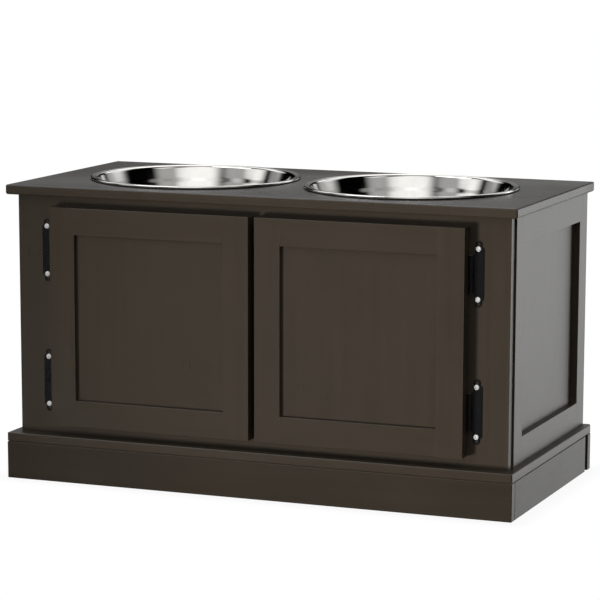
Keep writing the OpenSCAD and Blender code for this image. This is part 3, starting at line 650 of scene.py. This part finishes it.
# --------------------------------------------------------------- hardware
for side in ("left", "right"):
    for level in ("upper", "lower"):
        soften(f"frame_leaf_{side}_{level}", black, 0.22, 2)
        soften(f"door_leaf_{side}_{level}", black, 0.2, 2)
    soften(f"hinge_springs_{side}", spring, 0.1, 2)
    soften(f"door_leaf_screws_{side}", zinc, 0.08, 2, angle=32)
soften("hinge_pins", pin_metal, 0.25, 3, angle=25)
soften("frame_leaf_screws", zinc, 0.12, 2, angle=32)
for n, o in frame["nodes"].items():
    if n in ("plinth_screws", "base_screws", "cleat_screws"):
        o.data.materials[0] = zinc
    elif n == "back_nails":
        o.data.materials[0] = nail_steel
    elif n.endswith("dowels"):
        o.data.materials[0] = beech
    elif n.startswith("door_bumpers"):
        o.data.materials[0] = clear


# ------------------------------------------------------------------ stage
def plane(name, size, z=0.0):
    bm = bmesh.new()
    bmesh.ops.create_grid(bm, x_segments=1, y_segments=1, size=size / 2)
    me = bpy.data.meshes.new(name)
    bm.to_mesh(me)
    bm.free()
    ob = bpy.data.objects.new(name, me)
    ob.location.z = z
    scene.collection.objects.link(ob)
    return ob


floor = plane("floor", 60, -0.0002)
fmat, fg, fb = new_material("pale_floor")
fb.inputs["Base Color"].default_value = (0.87, 0.87, 0.865, 1)
fb.inputs["Roughness"].default_value = 0.9
fb.inputs["Specular IOR Level"].default_value = 0.0
# pure white away from the cabinet; within a hand's width of it the lit floor shows its contact shadow
fout = [n for n in fmat.node_tree.nodes if n.bl_idname == "ShaderNodeOutputMaterial"][0]
pos = fg.vmath("ABSOLUTE", fg.node("ShaderNodeNewGeometry").outputs["Position"])
away = fg.vmath("LENGTH", fg.vmath("MAXIMUM", fg.vmath("SUBTRACT", pos, (0.300, 0.150, 1.0)), (0, 0, 0)))
glow = fg.node("ShaderNodeEmission")
glow.inputs["Color"].default_value = (1, 1, 1, 1)
glow.inputs["Strength"].default_value = 1.02
fmix = fg.node("ShaderNodeMixShader")
fg.put(fmix.inputs[0], fg.remap(away, 0.0, 0.04, 0.9, 1.0, smooth=True))
fg.put(fmix.inputs[1], fb.outputs[0])
fg.put(fmix.inputs[2], glow.outputs[0])
fg.put(fout.inputs["Surface"], fmix.outputs[0])
floor.data.materials.append(fmat)
floor.visible_glossy = False
floor.visible_diffuse = False
floor.visible_shadow = False


def lamp(name, az, el, aim, half, power, color):
    """Round soft lamp low in front; its cone fades to the sides, and it leaves no glint in the paint."""
    data = bpy.data.lights.new(name, "SPOT")
    data.energy = power
    data.color = color
    data.spot_size = math.radians(2 * half)
    data.spot_blend = 1.0
    data.shadow_soft_size = 0.28
    ob = bpy.data.objects.new(name, data)
    a, e = math.radians(az), math.radians(el)
    ob.location = Vector((0, -0.14, 0.18)) + 2.6 * Vector((math.sin(a) * math.cos(e), -math.cos(a) * math.cos(e), math.sin(e)))
    ob.rotation_euler = (ob.location - Vector((aim, -0.14, 0.35))).to_track_quat("Z", "Y").to_euler()
    ob.visible_glossy = False
    ob.visible_camera = False
    scene.collection.objects.link(ob)
    return ob


# azimuth, elevation, aim along X, half cone, watts, colour
LAMPS = [
    (-26, -12, 0.56, 21, 297, (1.0, 1.0, 1.0)),
]
for k, (az, el, aim, half, power, colour) in enumerate(LAMPS):
    lamp(f"lamp_{k}", az, el, aim, half, power, colour)

# a lamp high on the left that only shows as a thin glint along upper edges and on the bowl beads
glint = bpy.data.lights.new("overhead_glint", "POINT")
glint.energy = 60
glint.shadow_soft_size = 0.75
gob = bpy.data.objects.new("overhead_glint", glint)
ga, ge = math.radians(-60), math.radians(62)
gob.location = Vector((0, -0.14, 0.18)) + 2.6 * Vector((math.sin(ga) * math.cos(ge), -math.cos(ga) * math.cos(ge), math.sin(ge)))
gob.visible_diffuse = False
gob.visible_camera = False
scene.collection.objects.link(gob)

world = bpy.data.worlds.new("studio")
scene.world = world
world.use_nodes = True
wg = Graph(world.node_tree)
wout = wg.node("ShaderNodeOutputWorld")
wdir = wg.node("ShaderNodeTexCoord").outputs["Generated"]


def toward(az, el):
    a, e = math.radians(az), math.radians(el)
    return (math.sin(a) * math.cos(e), -math.cos(a) * math.cos(e), math.sin(e))


def patch(az, el, inner, outer):
    """Soft round patch of the surroundings: 1 within inner degrees of a direction, 0 beyond outer."""
    d = wg.vmath("DOT_PRODUCT", wdir, toward(az, el))
    return wg.remap(d, math.cos(math.radians(outer)), math.cos(math.radians(inner)), 0.0, 1.0, smooth=True)


# plain grey softboxes and reflectors around the set: azimuth, elevation, inner and outer radius in degrees, strength
RIG = [
    (-20, -40, 5, 25, 0.12),
    (-15, -15, 5, 20, 0.1),
    (65, -15, 5, 15, 0.25),
    (-90, 10, 5, 15, 0.3),
    (-60, 10, 5, 15, 0.3),
    (-30, 10, 5, 15, 0.3),
    (-5, 10, 5, 15, 0.3),
    (20, 10, 5, 15, 0.3),
    (45, 10, 5, 15, 0.3),
    (75, 10, 5, 15, 0.25),
    (140, 10, 5, 25, 0.45),
    (-160, 15, 5, 15, 0.2),
    (165, 25, 0, 10, 1.5),
    (145, -5, 0, 15, 4.5),
    (170, -5, 5, 15, 1),
    (170, -30, 5, 15, 2),
    (-105, 30, 5, 20, 1),
    (-60, 30, 5, 20, 1),
    (-30, 30, 5, 20, 0.4),
    (20, 30, 10, 30, 1.1),
    (60, 30, 5, 20, 0.4),
    (140, 30, 5, 20, 0.6),
    (-165, 30, 5, 15, 0.8),
    (-155, 45, 5, 25, 1.5),
    (-115, 45, 5, 15, 0.6),
    (70, 45, 5, 15, 0.9),
    (160, 45, 5, 20, 0.9),
    (-170, 65, 5, 20, 0.9),
    (10, 65, 5, 20, 0.9),
]
env = wg.node("ShaderNodeCombineXYZ").outputs[0]
for az, el, inner, outer, strength in RIG:
    n = wg.node("ShaderNodeVectorMath", operation="MULTIPLY_ADD")
    wg.put(n.inputs[0], patch(az, el, inner, outer))
    wg.put(n.inputs[1], (strength, strength, strength))
    wg.put(n.inputs[2], env)
    env = n.outputs[0]
lit = wg.node("ShaderNodeBackground")
wg.put(lit.inputs["Color"], env)
seen = wg.node("ShaderNodeBackground")
seen.inputs["Color"].default_value = (1, 1, 1, 1)
pick = wg.node("ShaderNodeMixShader")
wg.put(pick.inputs[0], wg.node("ShaderNodeLightPath").outputs["Is Camera Ray"])
wg.put(pick.inputs[1], lit.outputs[0])
wg.put(pick.inputs[2], seen.outputs[0])
wg.put(wout.inputs["Surface"], pick.outputs[0])
